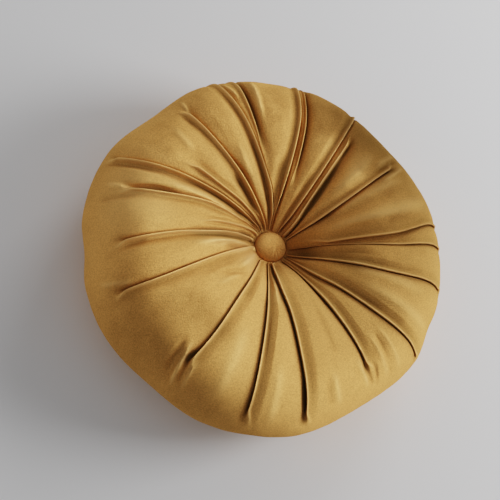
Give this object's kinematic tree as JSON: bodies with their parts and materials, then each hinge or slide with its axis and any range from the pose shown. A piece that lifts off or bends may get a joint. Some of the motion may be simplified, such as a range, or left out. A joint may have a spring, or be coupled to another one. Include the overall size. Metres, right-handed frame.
{
  "type": "round pleated cushion",
  "caption": "Round filled velvet cushion with its cover pleated towards a covered button in the middle of each face, lying on its back.",
  "frame": {"origin": "on the surface the cushion rests on, under the middle of its bounding box", "axes": "+Z out of the front face, along the buttons' axis, with the back face down; +Y towards the edge that is uppermost in the picture and +X towards its right"},
  "size_m": [0.4034, 0.4068, 0.1147],
  "materials": {
    "velvet_cover": "short-pile mustard velvet with a soft sheen",
    "velvet_button": "the same velvet stretched over a button"
  },
  "bodies": {
    "root": {"cushion": "velvet_cover", "front_button": "velvet_button", "back_button": "velvet_button"}
  },
  "joints": []
}
